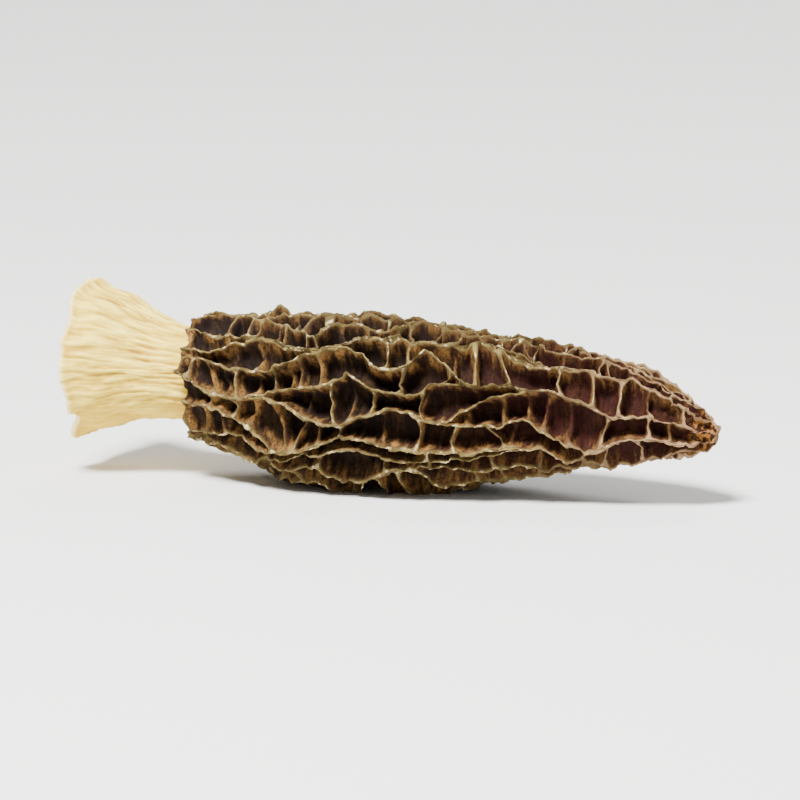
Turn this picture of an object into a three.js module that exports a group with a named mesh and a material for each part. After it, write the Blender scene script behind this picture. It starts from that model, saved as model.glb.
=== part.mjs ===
// A dried morel mushroom, lying on its side: a pitted, ridged hollow cap on a short flared hollow stem.
// Millimetres, +Z up. +X runs from the cut stem to the cap's tip, and the morel rests on the plane z = 0.
import * as THREE from "three";

// Driving dimensions, along X from the cap's margin (its lower edge, where the stem enters).
const CAP_LENGTH = 57.4;
const STEM_SHOWN = 12.9; // from the cut rim to the cap's margin
const STEM_HIDDEN = 3.4; // the neck's length inside the cap
const WIDTH_SHARE = 1.12; // dried flat: each section is this much wider than it is high
const SQUARENESS = 2.25; // exponent of the section's superellipse, 2 for a plain ellipse
const FLESH = 1.1; // wall between a pit's floor and the hollow
const TIP_FLESH = 7; // solid length at the cap's tip
const STEM_WALL = 1.1;
const JOINT_GAP = 0.3;
const SETTLE = 0.75; // how far the crests under the belly are pressed flat

// Ridge pattern of the cap.
const RIDGES = 15;
const RIB_SPACING = 5; // rows from one cross rib to the next in a lane
const RIB_HEIGHT = 0.8; // as a share of the ridges' height
const CAP_ROWS = 43;
const CREST_HALF = 0.1; // half a crest's width, as a share of a lane
const FLOOR_EDGES = [0.38, 0.62]; // where a pit's floor lies across its lane
const CREST_UNEVEN = 0.25; // how far a crest dips at random, as a share of the ridges' height
const MARGIN_UNEVEN = 0.3; // the share of that dip which is left near the cap's margin
const SWING = { reach: 0.24, length: 33 }; // slow wander of a ridge: share of a lane, and millimetres a wave
const WOBBLE = { reach: 0.1, length: 14.5 }; // quicker wander on top of it
const SWING_UNDERNEATH = 0.05; // the two ridges that carry the morel run nearly straight

// Wrinkles of the stem.
const STEM_COLUMNS = 40;
const STEM_FLUTES = 13;
const FLUTE_DEPTH = 0.22;
const LOBE_DEPTH = 0.35; // how far the cut rim is out of round

// Steps of the plain skins.
const HOLLOW_STEP = 4.6;
const STEM_STEPS = 10;

const TURN = 2 * Math.PI;
const DOWN = 1.5 * Math.PI; // section angles run from +Y through +Z, so this one points at the ground
const SINK = new THREE.Vector3(0, 0, SETTLE);

// Stations along X: [distance from the margin, value].
const CAP_HALF_HEIGHT = [
  [0, 6.4], [6, 7.75], [12, 9.1], [18, 9.6], [24, 9.35],
  [30, 8.5], [36, 7.4], [42, 6.5], [48, 5.4], [CAP_LENGTH, 3.4],
];
const RIDGE_HEIGHT = [[0, 1.2], [8, 2.3], [20, 2.6], [40, 2.0], [50, 1.3], [CAP_LENGTH, 0.4]];
const SPINE_HEIGHT = [
  [-STEM_SHOWN - 1, 12.6], [-9, 12.5], [-4, 11.7], [0, 11.2], [5, 10.4], [11, 9.45],
  [18, 9.3], [25, 9.2], [32, 9.55], [42, 10.1], [50, 9.7], [CAP_LENGTH, 8.3],
];
const STEM_HALF_HEIGHT = [
  [-STEM_SHOWN, 7.6], [-11, 7.25], [-8, 6.3], [-5, 5.15], [-2.5, 4.72], [-0.5, 4.5], [STEM_HIDDEN, 4.4],
];
const TIP_BLUNTNESS = 14; // the higher, the later the cap rounds off into its tip

// The value of a station list at x, by a cubic through the stations.
function along(stations, x) {
  const last = stations.length - 1;
  const slope = (i) => {
    const a = stations[Math.max(i - 1, 0)];
    const b = stations[Math.min(i + 1, last)];
    return (b[1] - a[1]) / (b[0] - a[0]);
  };
  let i = 0;
  while (i < last - 1 && x > stations[i + 1][0]) i += 1;
  const [x0, y0] = stations[i];
  const [x1, y1] = stations[i + 1];
  const span = x1 - x0;
  const t = THREE.MathUtils.clamp((x - x0) / span, 0, 1);
  const rise = (t - 1) * (t - 1) * t * span * slope(i) + (t - 1) * t * t * span * slope(i + 1);
  return y0 + (y1 - y0) * t * t * (3 - 2 * t) + rise;
}

// A repeatable number from 0 to 1 for a pair of whole numbers.
function scatter(a, b) {
  const mixed = Math.sin(a * 127.1 + b * 311.7) * 43758.5453;
  return mixed - Math.floor(mixed);
}

// Half the height of the cap's outside at x, over the ridges' crests.
function capHalfHeight(x) {
  return along(CAP_HALF_HEIGHT, x) * Math.sqrt(Math.max(0, 1 - (x / CAP_LENGTH) ** TIP_BLUNTNESS));
}

// A point of the flattened section at x, for an angle and a half height.
function sectionPoint(x, angle, halfHeight) {
  const c = Math.cos(angle);
  const s = Math.sin(angle);
  const reach = (Math.abs(c) ** SQUARENESS + Math.abs(s) ** SQUARENESS) ** (-1 / SQUARENESS);
  const y = WIDTH_SHARE * halfHeight * reach * c;
  const z = along(SPINE_HEIGHT, x) + halfHeight * reach * s;
  return new THREE.Vector3(x, y, z);
}

// The same point pressed flat where it would go below the ground.
function restingPoint(x, angle, halfHeight) {
  const point = sectionPoint(x, angle, halfHeight);
  point.z = Math.max(point.z - SETTLE, 0);
  return point;
}

// A closed skin over rings of equal length. Each end is either closed on a pole or joined to the other end.
function skin(rings, firstPole, lastPole) {
  const columns = rings[0].length;
  const points = rings.flat();
  const faces = [];
  const strip = (a, b) => {
    for (let k = 0; k < columns; k += 1) {
      const next = (k + 1) % columns;
      faces.push(a + k, b + next, b + k, a + k, a + next, b + next);
    }
  };
  for (let r = 0; r + 1 < rings.length; r += 1) strip(r * columns, (r + 1) * columns);
  if (firstPole) {
    const first = points.push(firstPole) - 1;
    const end = points.push(lastPole) - 1;
    const lastRing = (rings.length - 1) * columns;
    for (let k = 0; k < columns; k += 1) {
      const next = (k + 1) % columns;
      faces.push(first, next, k, end, lastRing + k, lastRing + next);
    }
  } else {
    strip((rings.length - 1) * columns, 0);
  }
  const geometry = new THREE.BufferGeometry().setFromPoints(points);
  geometry.setIndex(faces);
  geometry.computeVertexNormals();
  return geometry;
}

// The angle of ridge number i at x. Ridges 0 and -1 lie either side of the ground line.
function ridgeAngle(i, x) {
  const number = ((i % RIDGES) + RIDGES) % RIDGES;
  const underneath = Math.min(number, RIDGES - 1 - number) === 0;
  const wave = (length, seed) => Math.sin(TURN * (x / length + scatter(number, seed)));
  const reach = underneath ? SWING_UNDERNEATH : SWING.reach;
  const wander = reach * wave(SWING.length, 1) + WOBBLE.reach * wave(WOBBLE.length, 2);
  return DOWN + (TURN / RIDGES) * (i + 0.5 + wander);
}

// True if lane i has a cross rib on this row. The mouths of the pits stay open at the cap's margin.
function hasRib(i, row) {
  const start = 3 + Math.floor(RIB_SPACING * scatter(i, 3));
  const shift = Math.round(scatter(i, row - (row % RIB_SPACING)) - 0.5);
  return row >= start && (row - start + shift) % RIB_SPACING === 0;
}

// One ring of the cap's outside: for each lane two points on the crest and two on the pit's floor.
function reliefRing(x, row) {
  const top = capHalfHeight(x);
  const height = along(RIDGE_HEIGHT, x);
  const ring = [];
  for (let i = 0; i < RIDGES; i += 1) {
    const here = ridgeAngle(i, x);
    const lane = ridgeAngle(i + 1, x) - here;
    const uneven = CREST_UNEVEN * (x > 8 ? 1 : MARGIN_UNEVEN);
    const crest = top - uneven * height * scatter(i, row + CAP_ROWS);
    const floor = top - height * (hasRib(i, row) ? 1 - RIB_HEIGHT : 1);
    for (const side of [-CREST_HALF, CREST_HALF]) ring.push(restingPoint(x, here + side * lane, crest));
    for (const side of FLOOR_EDGES) ring.push(restingPoint(x, here + side * lane, floor));
  }
  return ring;
}

// One plain ring of the cap's inside. Its columns line up with the outside's four a lane.
function hollowRing(x, halfHeight) {
  const ring = [];
  for (let k = 0; k < 4 * RIDGES; k += 1) {
    const angle = DOWN + (TURN / RIDGES) * (0.4 + k / 4);
    ring.push(sectionPoint(x, angle, halfHeight).sub(SINK));
  }
  return ring;
}

// The cap: ridges and pits outside, a smooth hollow inside, and a mouth round the stem's neck.
function makeCap() {
  const mouth = along(STEM_HALF_HEIGHT, 0) + JOINT_GAP;
  const hollowEnd = CAP_LENGTH - TIP_FLESH;
  const hollowAt = (x) => capHalfHeight(x) - along(RIDGE_HEIGHT, x) - FLESH;
  const hollow = [];
  for (let x = hollowEnd - 0.6; x > STEM_HIDDEN + 3; x -= HOLLOW_STEP) {
    hollow.push(hollowRing(x, hollowAt(x)));
  }
  hollow.push(hollowRing(STEM_HIDDEN + 1.4, mouth), hollowRing(0.4, mouth));
  const outside = [];
  for (let row = 0; row < CAP_ROWS; row += 1) {
    const share = row / (CAP_ROWS - 0.35);
    outside.push(reliefRing(CAP_LENGTH * share * (1.06 - 0.06 * share), row));
  }
  const innerPole = sectionPoint(hollowEnd, DOWN, 0).sub(SINK);
  const tip = sectionPoint(CAP_LENGTH, DOWN, 0).sub(SINK);
  return skin([...hollow, ...outside], innerPole, tip);
}

// One ring of the stem. The flutes deepen towards the middle of its length and fade at the neck.
function stemRing(x, halfHeight, flutes) {
  const ring = [];
  for (let k = 0; k < STEM_COLUMNS; k += 1) {
    const angle = DOWN + (TURN / STEM_COLUMNS) * k;
    const lobes = LOBE_DEPTH * flutes * Math.sin(2 * angle + 0.6) * Math.max(0, -x / STEM_SHOWN);
    const wrinkle = FLUTE_DEPTH * flutes * Math.sin(STEM_FLUTES * angle + 0.25 * x);
    ring.push(sectionPoint(x, angle, halfHeight + lobes + wrinkle).sub(SINK));
  }
  return ring;
}

// The stem: a flared hollow tube, cut at its foot, whose neck ends inside the cap's mouth.
function makeStem() {
  const outside = [];
  const inside = [];
  for (let i = 0; i <= STEM_STEPS; i += 1) {
    const share = i / STEM_STEPS;
    const x = -STEM_SHOWN + (STEM_SHOWN + STEM_HIDDEN) * share;
    const flutes = THREE.MathUtils.clamp((-0.8 - x) / 2.5, 0, 1);
    const halfHeight = along(STEM_HALF_HEIGHT, x);
    outside.push(stemRing(x, halfHeight, flutes));
    inside.push(stemRing(x, halfHeight - STEM_WALL, 0.5 * flutes));
  }
  return skin([...inside.reverse(), ...outside]);
}

const capFlesh = new THREE.MeshStandardMaterial({ color: 0x4d3822, roughness: 0.85, metalness: 0 });
const stemFlesh = new THREE.MeshStandardMaterial({ color: 0xe9d8ab, roughness: 0.8, metalness: 0 });

const cap = new THREE.Mesh(makeCap(), capFlesh);
cap.name = "cap";
const stem = new THREE.Mesh(makeStem(), stemFlesh);
stem.name = "stem";

const morel = new THREE.Group();
morel.add(cap, stem);

// The origin is on the ground, under the middle of the morel's box.
const box = new THREE.Box3().setFromObject(morel);
const middle = box.getCenter(new THREE.Vector3());
for (const piece of [cap, stem]) piece.position.set(-middle.x, -middle.y, -box.min.z);

export default morel;
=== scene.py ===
"""A dried morel mushroom lying on its side: its finish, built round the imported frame.

Lengths inside the classes are millimetres from the cap's margin, the edge where the stem enters:
X runs along the morel to its tip and Z is up from the surface that it lies on. Angles round the body
run from +Y through +Z, so a quarter turn is the top, a half turn the front and three quarters the belly.
"""

import logging
import math
from collections.abc import Sequence
from dataclasses import dataclass, field

import bpy
import numpy as np
from mathutils import Matrix, Vector


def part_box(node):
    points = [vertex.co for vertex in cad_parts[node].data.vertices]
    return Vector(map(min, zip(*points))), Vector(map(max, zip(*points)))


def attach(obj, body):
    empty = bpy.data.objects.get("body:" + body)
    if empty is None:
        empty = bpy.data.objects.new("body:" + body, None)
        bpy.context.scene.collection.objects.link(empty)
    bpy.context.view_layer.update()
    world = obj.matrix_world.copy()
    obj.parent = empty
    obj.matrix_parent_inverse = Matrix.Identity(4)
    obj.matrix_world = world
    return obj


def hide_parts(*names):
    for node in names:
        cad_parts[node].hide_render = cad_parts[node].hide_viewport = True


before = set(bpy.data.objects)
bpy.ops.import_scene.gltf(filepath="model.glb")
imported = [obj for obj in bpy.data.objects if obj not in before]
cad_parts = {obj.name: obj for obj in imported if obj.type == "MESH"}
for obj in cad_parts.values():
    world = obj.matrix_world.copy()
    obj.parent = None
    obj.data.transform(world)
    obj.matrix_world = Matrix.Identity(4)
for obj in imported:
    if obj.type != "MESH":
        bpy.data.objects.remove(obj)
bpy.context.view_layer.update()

log = logging.getLogger("morel")

MM = 0.001
TURN = 2 * math.pi
BELLY = 0.75 * TURN
BODY = "root"
# The rings of the cap's mesh, and the seed of its ridges and ribs.
LEVELS = 322
SEED = 2024

Pairs = Sequence[tuple[float, float]]
# Places, in order, with the value at each.
Stations = Pairs
# What feeds a node's input: an output, or a node's first one.
Feed = bpy.types.Node | bpy.types.NodeSocket


# ---- small helpers


def linear(colour: str) -> tuple[float, float, float, float]:
    """Turns an sRGB colour into the linear one that shaders use.

    Args:
        colour: Six hex digits.

    Returns:
        Linear red, green and blue, and an alpha of 1.
    """
    parts = [int(colour[i : i + 2], 16) / 255 for i in (0, 2, 4)]
    curve = [c / 12.92 if c <= 0.04045 else ((c + 0.055) / 1.055) ** 2.4 for c in parts]
    return (*curve, 1.0)


def along(stations: Stations, at: np.ndarray) -> np.ndarray:
    """Reads a list of stations at any places, by a cubic through them.

    Args:
        stations: Pairs of a place and the value there.
        at: Where to read.

    Returns:
        The value at each place, held level past both ends.
    """
    place, value = np.array(stations, float).T
    slope = np.gradient(value, place)
    i = np.clip(np.searchsorted(place, at) - 1, 0, len(place) - 2)
    span = place[i + 1] - place[i]
    t = np.clip((at - place[i]) / span, 0, 1)
    bend = (t - 1) ** 2 * t * span * slope[i] + (t - 1) * t**2 * span * slope[i + 1]
    return value[i] + (value[i + 1] - value[i]) * t**2 * (3 - 2 * t) + bend


def ease(t: np.ndarray) -> np.ndarray:
    """A smooth rise from 0 to 1 as t goes from 0 to 1."""
    t = np.clip(t, 0, 1)
    return t * t * (3 - 2 * t)


def drift(rng: np.random.Generator, at: np.ndarray, wave: float) -> np.ndarray:
    """A smooth random wander between about -1 and 1.

    Args:
        rng: The source of its random numbers.
        at: Places to read it at, from about -20 to 80.
        wave: The distance between its random knots.

    Returns:
        The wander at each place.
    """
    knots = np.arange(-20.0, 80.0 + wave, wave)
    return along(list(zip(knots, rng.uniform(-1, 1, len(knots)))), at)


def towards(azimuth: float, elevation: float) -> np.ndarray:
    """The direction from the morel towards an eye or a light, in degrees from the front, at -Y."""
    a, e = math.radians(azimuth), math.radians(elevation)
    return np.array([math.sin(a) * math.cos(e), -math.cos(a) * math.cos(e), math.sin(e)])


def in_scene(name: str, data: bpy.types.ID) -> bpy.types.Object:
    """Makes an object of a mesh, light or camera and puts it in the scene.

    Args:
        name: The object's name.
        data: What it shows.

    Returns:
        The object, at the origin.
    """
    made = bpy.data.objects.new(name, data)
    bpy.context.scene.collection.objects.link(made)
    return made


def add_node(
    tree: bpy.types.NodeTree, kind: str, inputs: dict | None = None, **settings: object
) -> bpy.types.Node:
    """Adds a node with its settings and links.

    Args:
        tree: The material's or modifier's tree.
        kind: The node's Blender type.
        inputs: For a socket's name or number, its value, the output that feeds it, or the node whose
            first output does.
        **settings: The node's own properties.

    Returns:
        The new node.
    """
    node = tree.nodes.new(kind)
    for name, value in settings.items():
        setattr(node, name, value)
    for name, value in (inputs or {}).items():
        if isinstance(value, bpy.types.Node):
            value = value.outputs[0]
        if isinstance(value, bpy.types.NodeSocket):
            tree.links.new(value, node.inputs[name])
        else:
            node.inputs[name].default_value = value
    return node


# ---- finishes


@dataclass(frozen=True)
class Pattern:
    """A noise on a finish, whose patches are size millimetres wide.

    It lies in object space, or follows the vector attribute that it names. A small scale round the body
    draws its patches out that way.
    """

    name: str
    size: float
    detail: float
    round_body: float = 1.0
    distortion: float = 0.0
    follows: str = ""


@dataclass(frozen=True)
class Fade:
    """A value that goes from one end to the other as its source does, and holds past both ends."""

    source: str
    low: float
    high: float
    at_low: float = 0.0
    at_high: float = 1.0


@dataclass(frozen=True)
class Layer:
    """A colour over those before it. It shows by the greatest of its shares, each a product of fades."""

    colour: str
    shares: Sequence[Sequence[Fade]]


@dataclass(frozen=True)
class DriedFlesh:
    """Air-dried morel flesh. A finish names what it reads, its ramp of colours and the layers over it."""

    name: str
    numbers: Sequence[str]
    patterns: Sequence[Pattern]
    ramp_reads: str
    ramp_shifts: Sequence[Fade]
    ramp: Sequence[tuple[float, str]]
    layers: Sequence[Layer]
    bump_strength: float
    bump_depth: float
    surface: Sequence[tuple[str, object]]

    def build(self) -> bpy.types.Material:
        """Makes the material.

        Returns:
            The finished material, which reads the piece's own attributes.
        """
        material = bpy.data.materials.new(self.name)
        material.use_nodes = True
        tree = material.node_tree
        tree.nodes.clear()
        sources = self.sources(tree)
        level = sources[self.ramp_reads]
        for fade in self.ramp_shifts:
            shift = self.product(tree, sources, [fade])
            level = add_node(tree, "ShaderNodeMath", {0: level, 1: shift}, operation="ADD")
        ramp = add_node(tree, "ShaderNodeValToRGB", {"Fac": level})
        elements = ramp.color_ramp.elements
        while len(elements) < len(self.ramp):
            elements.new(0.5)
        for element, (place, colour) in zip(elements, self.ramp):
            element.position = place
            element.color = linear(colour)
        shown = ramp.outputs["Color"]
        for layer in self.layers:
            share, *others = [self.product(tree, sources, fades) for fades in layer.shares]
            for other in others:
                share = add_node(tree, "ShaderNodeMath", {0: share, 1: other}, operation="MAXIMUM")
            colours = {"Factor": share, 6: shown, 7: linear(layer.colour)}
            shown = add_node(tree, "ShaderNodeMix", colours, data_type="RGBA").outputs[2]
        grain = {"Height": sources["grain"], "Strength": self.bump_strength, "Distance": self.bump_depth * MM}
        bump = add_node(tree, "ShaderNodeBump", grain)
        sockets = {"Base Color": shown, "Normal": bump, **dict(self.surface)}
        shader = add_node(tree, "ShaderNodeBsdfPrincipled", sockets)
        add_node(tree, "ShaderNodeOutputMaterial", {"Surface": shader})
        return material

    def sources(self, tree: bpy.types.NodeTree) -> dict[str, bpy.types.NodeSocket]:
        """Adds what the finish reads.

        Args:
            tree: The material's tree.

        Returns:
            The output of each attribute and pattern, and the height in metres.
        """
        place = add_node(tree, "ShaderNodeTexCoord").outputs["Object"]
        found = {"height": add_node(tree, "ShaderNodeSeparateXYZ", {0: place}).outputs["Z"]}
        for name in self.numbers:
            found[name] = add_node(tree, "ShaderNodeAttribute", attribute_name=name).outputs["Fac"]
        for pattern in self.patterns:
            spot = place
            if pattern.follows:
                node = add_node(tree, "ShaderNodeAttribute", attribute_name=pattern.follows)
                spot = node.outputs["Vector"]
            drawn = (1.0, pattern.round_body, pattern.round_body)
            noise = {
                "Vector": add_node(tree, "ShaderNodeMapping", {"Vector": spot, "Scale": drawn}),
                "Scale": 1 / (pattern.size * MM),
                "Detail": pattern.detail,
                "Distortion": pattern.distortion,
            }
            found[pattern.name] = add_node(tree, "ShaderNodeTexNoise", noise).outputs["Fac"]
        return found

    @staticmethod
    def product(
        tree: bpy.types.NodeTree, sources: dict[str, bpy.types.NodeSocket], fades: Sequence[Fade]
    ) -> bpy.types.Node:
        """Multiplies fades together.

        Args:
            tree: The material's tree.
            sources: The outputs that the fades read.
            fades: One fade or more.

        Returns:
            The node whose first output is the product.
        """
        shares = []
        for fade in fades:
            ends = {0: sources[fade.source], 1: fade.low, 2: fade.high, 3: fade.at_low, 4: fade.at_high}
            shares.append(add_node(tree, "ShaderNodeMapRange", ends))
        result, *others = shares
        for other in others:
            result = add_node(tree, "ShaderNodeMath", {0: result, 1: other}, operation="MULTIPLY")
        return result


CRESTS = Fade("pit", 0.04, 0.12, 0.9, 0.0)
WALLS = Fade("pit", 0.08, 0.2)


@dataclass(frozen=True)
class DriedCapFlesh(DriedFlesh):
    """The cap's flesh, dried in warm air: khaki on the crests and brown in the pits, with painted shade
    deeper in the pits and on the crown and under the belly.
    """

    # Flesh that dried slowly is leathery: matte all over, finely grained, and it gives no highlight.
    name: str = "dried_cap_flesh"
    numbers: Sequence[str] = ("pit", "run", "lit", "hollow")
    patterns: Sequence[Pattern] = (
        Pattern("patches", 1.3, 4.0),
        Pattern("grain", 0.16, 3.0),
        Pattern("worn", 1.1, 3.0),
        Pattern("pale", 0.8, 3.0),
        Pattern("stripes", 0.8, 3.0, round_body=0.25),
        Pattern("spots", 0.34, 2.0),
        Pattern("specks", 0.5, 2.0),
    )
    # The colour goes by the depth in a pit, from the khaki crest to the brown walls and, with painted shade,
    # darker towards the floor.
    ramp_reads: str = "pit"
    ramp_shifts: Sequence[Fade] = (
        Fade("patches", 0.3, 0.7, -0.035, 0.07), Fade("grain", 0.2, 0.8, -0.02, 0.03),
    )
    ramp: Sequence[tuple[float, str]] = (
        (0.0, "7F6E42"), (0.035, "7F6E42"), (0.11, "564223"),
        (0.22, "38240F"), (0.55, "200F04"), (0.88, "170903"),
    )
    layers: Sequence[Layer] = (
        # The crests are worn brown here and there, and darkened with painted shade on the crown and under the
        # belly.
        Layer(
            "42351A",
            (
                (CRESTS, Fade("worn", 0.38, 0.62)),
                (CRESTS, Fade("lit", 0.4, 1.0, 0.85, 0.0), Fade("run", 0.1, 0.26, 0.3, 1.0)),
            ),
        ),
        # Some crests are pale in patches placed by noise, partly pale flesh and partly painted highlight.
        Layer("C9B68A", ((Fade("pit", 0.02, 0.07, 1.0, 0.0), Fade("pale", 0.56, 0.68, 0.0, 0.9)),)),
        # The pits' walls have dried dark red towards the tip. Their orange brown stripes round the body are
        # partly flesh colour and partly painted light, fading towards the floors and where a lane's lit share
        # is low.
        Layer("310B03", ((WALLS, Fade("run", 0.42, 0.72, 0.0, 0.7)),)),
        Layer(
            "8A6434",
            (
                (
                    WALLS,
                    Fade("stripes", 0.45, 0.62, 0.0, 0.9),
                    Fade("pit", 0.4, 0.85, 1.0, 0.1),
                    Fade("lit", 0.0, 1.0),
                    Fade("run", 0.45, 0.75, 1.0, 0.6),
                ),
            ),
        ),
        # The pits are flecked with darker spots.
        Layer("0A0502", ((WALLS, Fade("spots", 0.5, 0.62, 0.0, 0.6)),)),
        # The crests turn pinkish towards the tip, and the very tip is speckled orange.
        Layer("A07C60", ((CRESTS, Fade("run", 0.65, 0.95, 0.0, 0.7)),)),
        Layer("AE7434", ((Fade("run", 0.96, 0.99), Fade("specks", 0.5, 0.62, 0.0, 0.85)),)),
        # The hollow is pale and clean.
        Layer("C9AE7C", ((Fade("hollow", 0.0, 1.0),),)),
    )
    bump_strength: float = 0.6
    bump_depth: float = 0.1
    surface: Sequence[tuple[str, object]] = (("Roughness", 0.85), ("IOR", 1.45), ("Specular IOR Level", 0.2))


@dataclass(frozen=True)
class DriedStemFlesh(DriedFlesh):
    """The stem's flesh, dried in warm air: cream with ochre streaks, and painted shade that turns it ochre in
    the folds and on its low side.
    """

    # It is paler and smoother than the cap's, a little waxy, and lets some light through.
    name: str = "dried_stem_flesh"
    numbers: Sequence[str] = ("fold", "lip")
    # The streaks follow the stem's fibres, which fan out with its flare.
    patterns: Sequence[Pattern] = (
        Pattern("streaks", 0.42, 4.0, distortion=0.3, follows="fibre"),
        Pattern("stains", 5.0, 3.0),
        Pattern("grain", 0.14, 2.0),
    )
    ramp_reads: str = "streaks"
    # Painted shade: the ramp turns darker ochre in the folds and paler on the wrinkles' tops.
    ramp_shifts: Sequence[Fade] = (Fade("fold", -1.0, 1.0, 0.3, -0.25),)
    ramp: Sequence[tuple[float, str]] = ((0.36, "FFE468"), (0.64, "CFAA2C"), (0.92, "94702A"))
    layers: Sequence[Layer] = (
        # It is stained in places, and the low side is painted a deeper ochre as shade.
        Layer(
            "CFAA2C",
            ((Fade("stains", 0.5, 0.72, 0.0, 0.45),), (Fade("height", 12 * MM, 5 * MM, 0.0, 0.85),)),
        ),
        # A painted highlight runs pale along the cut lip.
        Layer("FFEDB0", ((Fade("lip", 0.0, 1.0),),)),
    )
    bump_strength: float = 0.3
    bump_depth: float = 0.05
    surface: Sequence[tuple[str, object]] = (
        ("Roughness", 0.72),
        ("IOR", 1.45),
        ("Specular IOR Level", 0.35),
        ("Subsurface Weight", 0.06),
        ("Subsurface Radius", (1.0, 0.6, 0.35)),
        ("Subsurface Scale", 0.8 * MM),
    )


# ---- the body's form


@dataclass(frozen=True)
class Form:
    """The smooth outer form of the morel, over the crests of its ridges."""

    margin_x: float
    cap_length: float
    width_share: float = 1.12
    squareness: float = 2.25
    # How far the whole form sinks, so that its lowest crests are flattened where it lies.
    settle: float = 0.75
    bluntness: float = 14.0
    cap_half_height: Stations = (
        (0, 6.4), (6, 7.75), (12, 9.1), (18, 9.6), (24, 9.35),
        (30, 8.5), (36, 7.4), (42, 6.5), (48, 5.4), (57.4, 3.4),
    )
    spine_height: Stations = (
        (-13.9, 12.6), (-9, 12.5), (-4, 11.7), (0, 11.2), (5, 10.4), (11, 9.45),
        (18, 9.3), (25, 9.2), (32, 9.55), (42, 10.1), (50, 9.7), (57.4, 8.3),
    )

    def half_height(self, x: np.ndarray) -> np.ndarray:
        """Half the cap's height at x, rounded off into the tip."""
        blunt = np.clip(1 - np.clip(x / self.cap_length, 0, 1) ** self.bluntness, 0, 1)
        return along(self.cap_half_height, x) * np.sqrt(blunt)

    def ring(self, x: np.ndarray, angle: np.ndarray, half_height: np.ndarray) -> np.ndarray:
        """Points of the flattened sections.

        Args:
            x: Distance from the margin.
            angle: Angle round the body.
            half_height: Half the section's height.

        Returns:
            Points, in millimetres.
        """
        c, s = np.cos(angle), np.sin(angle)
        n = self.squareness
        reach = (np.abs(c) ** n + np.abs(s) ** n) ** (-1 / n)
        y = self.width_share * half_height * reach * c
        z = along(self.spine_height, x) - self.settle + half_height * reach * s
        return np.stack([x + 0 * y, y, z], -1)

    def outward(self, x: np.ndarray, angle: np.ndarray) -> np.ndarray:
        """The direction straight out of the cap's skin, from small steps along it and round it.

        Args:
            x: Distance from the margin.
            angle: Angle round the body.

        Returns:
            A unit vector for each place.
        """
        step, least_half = 0.02, 0.05
        low = np.clip(x - step, 0, self.cap_length - 2 * step)
        high = low + 2 * step
        run = self.ring(high, angle, self.half_height(high)) - self.ring(low, angle, self.half_height(low))
        half = np.maximum(self.half_height(x), least_half)
        turn = self.ring(x, angle + step, half) - self.ring(x, angle - step, half)
        out = np.cross(turn, run)
        return out / np.linalg.norm(out, axis=-1, keepdims=True)

    def levels(self, count: int) -> np.ndarray:
        """Places for rings that are evenly spaced over the skin, up to the tip.

        Args:
            count: How many rings.

        Returns:
            Their distances from the margin.
        """
        x = self.cap_length * (1 - np.linspace(1, 0, 4000) ** 2.5)
        walked = np.concatenate([[0], np.cumsum(np.hypot(np.diff(x), np.diff(self.half_height(x))))])
        even = np.linspace(0, walked[-1], count + 1)[:-1]
        return np.interp(even, walked, x)


@dataclass(frozen=True)
class FrontView:
    """The view that the ridges' courses are drawn on: steps right and down, seen from the front."""

    azimuth: float = 20.0
    elevation: float = 10.0
    step: float = 0.345
    margin_at: tuple[float, float] = (355.0, 642.2)
    # The part of the cap that the view can show, in degrees round the body, and the search's fineness.
    shown: tuple[float, float] = (78.0, 268.0)
    fine_x: float = 0.15
    fine_angle: float = 0.4

    def onto(self, form: Form, spots: Pairs) -> tuple[np.ndarray, np.ndarray]:
        """Finds where spots of the view lie on the cap.

        Args:
            form: The cap's form.
            spots: Places on the view.

        Returns:
            Each spot's distance from the margin and its angle.
        """
        a = math.radians(self.azimuth)
        right = np.array([math.cos(a), math.sin(a), 0.0])
        back = towards(self.azimuth, self.elevation)
        up = np.cross(back, right)
        x, angle = np.meshgrid(
            np.arange(0, form.cap_length - 0.1, self.fine_x),
            np.radians(np.arange(*self.shown, self.fine_angle)),
            indexing="ij",
        )
        faces_eye = form.outward(x, angle) @ back > 0
        x, angle = x[faces_eye], angle[faces_eye]
        points = form.ring(x, angle, form.half_height(x))
        axis = np.array([0.0, 0.0, float(along(form.spine_height, np.zeros(1))[0]) - form.settle])
        across = (points - axis) @ right / self.step + self.margin_at[0]
        down = self.margin_at[1] - (points - axis) @ up / self.step
        nearest = [int(np.argmin((across - px) ** 2 + (down - py) ** 2)) for px, py in spots]
        return x[nearest], angle[nearest]


# ---- the ridges


@dataclass(frozen=True)
class Ridge:
    """A lengthwise ridge, drawn on the front view from the margin towards the tip.

    A ridge that leaves another names it in leaves, and one that runs into another names it in joins.
    One that keeps between two others wherever it isn't drawn names them in between.
    """

    name: str
    spots: Pairs
    leaves: str = ""
    joins: str = ""
    between: tuple[str, ...] = ()


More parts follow.
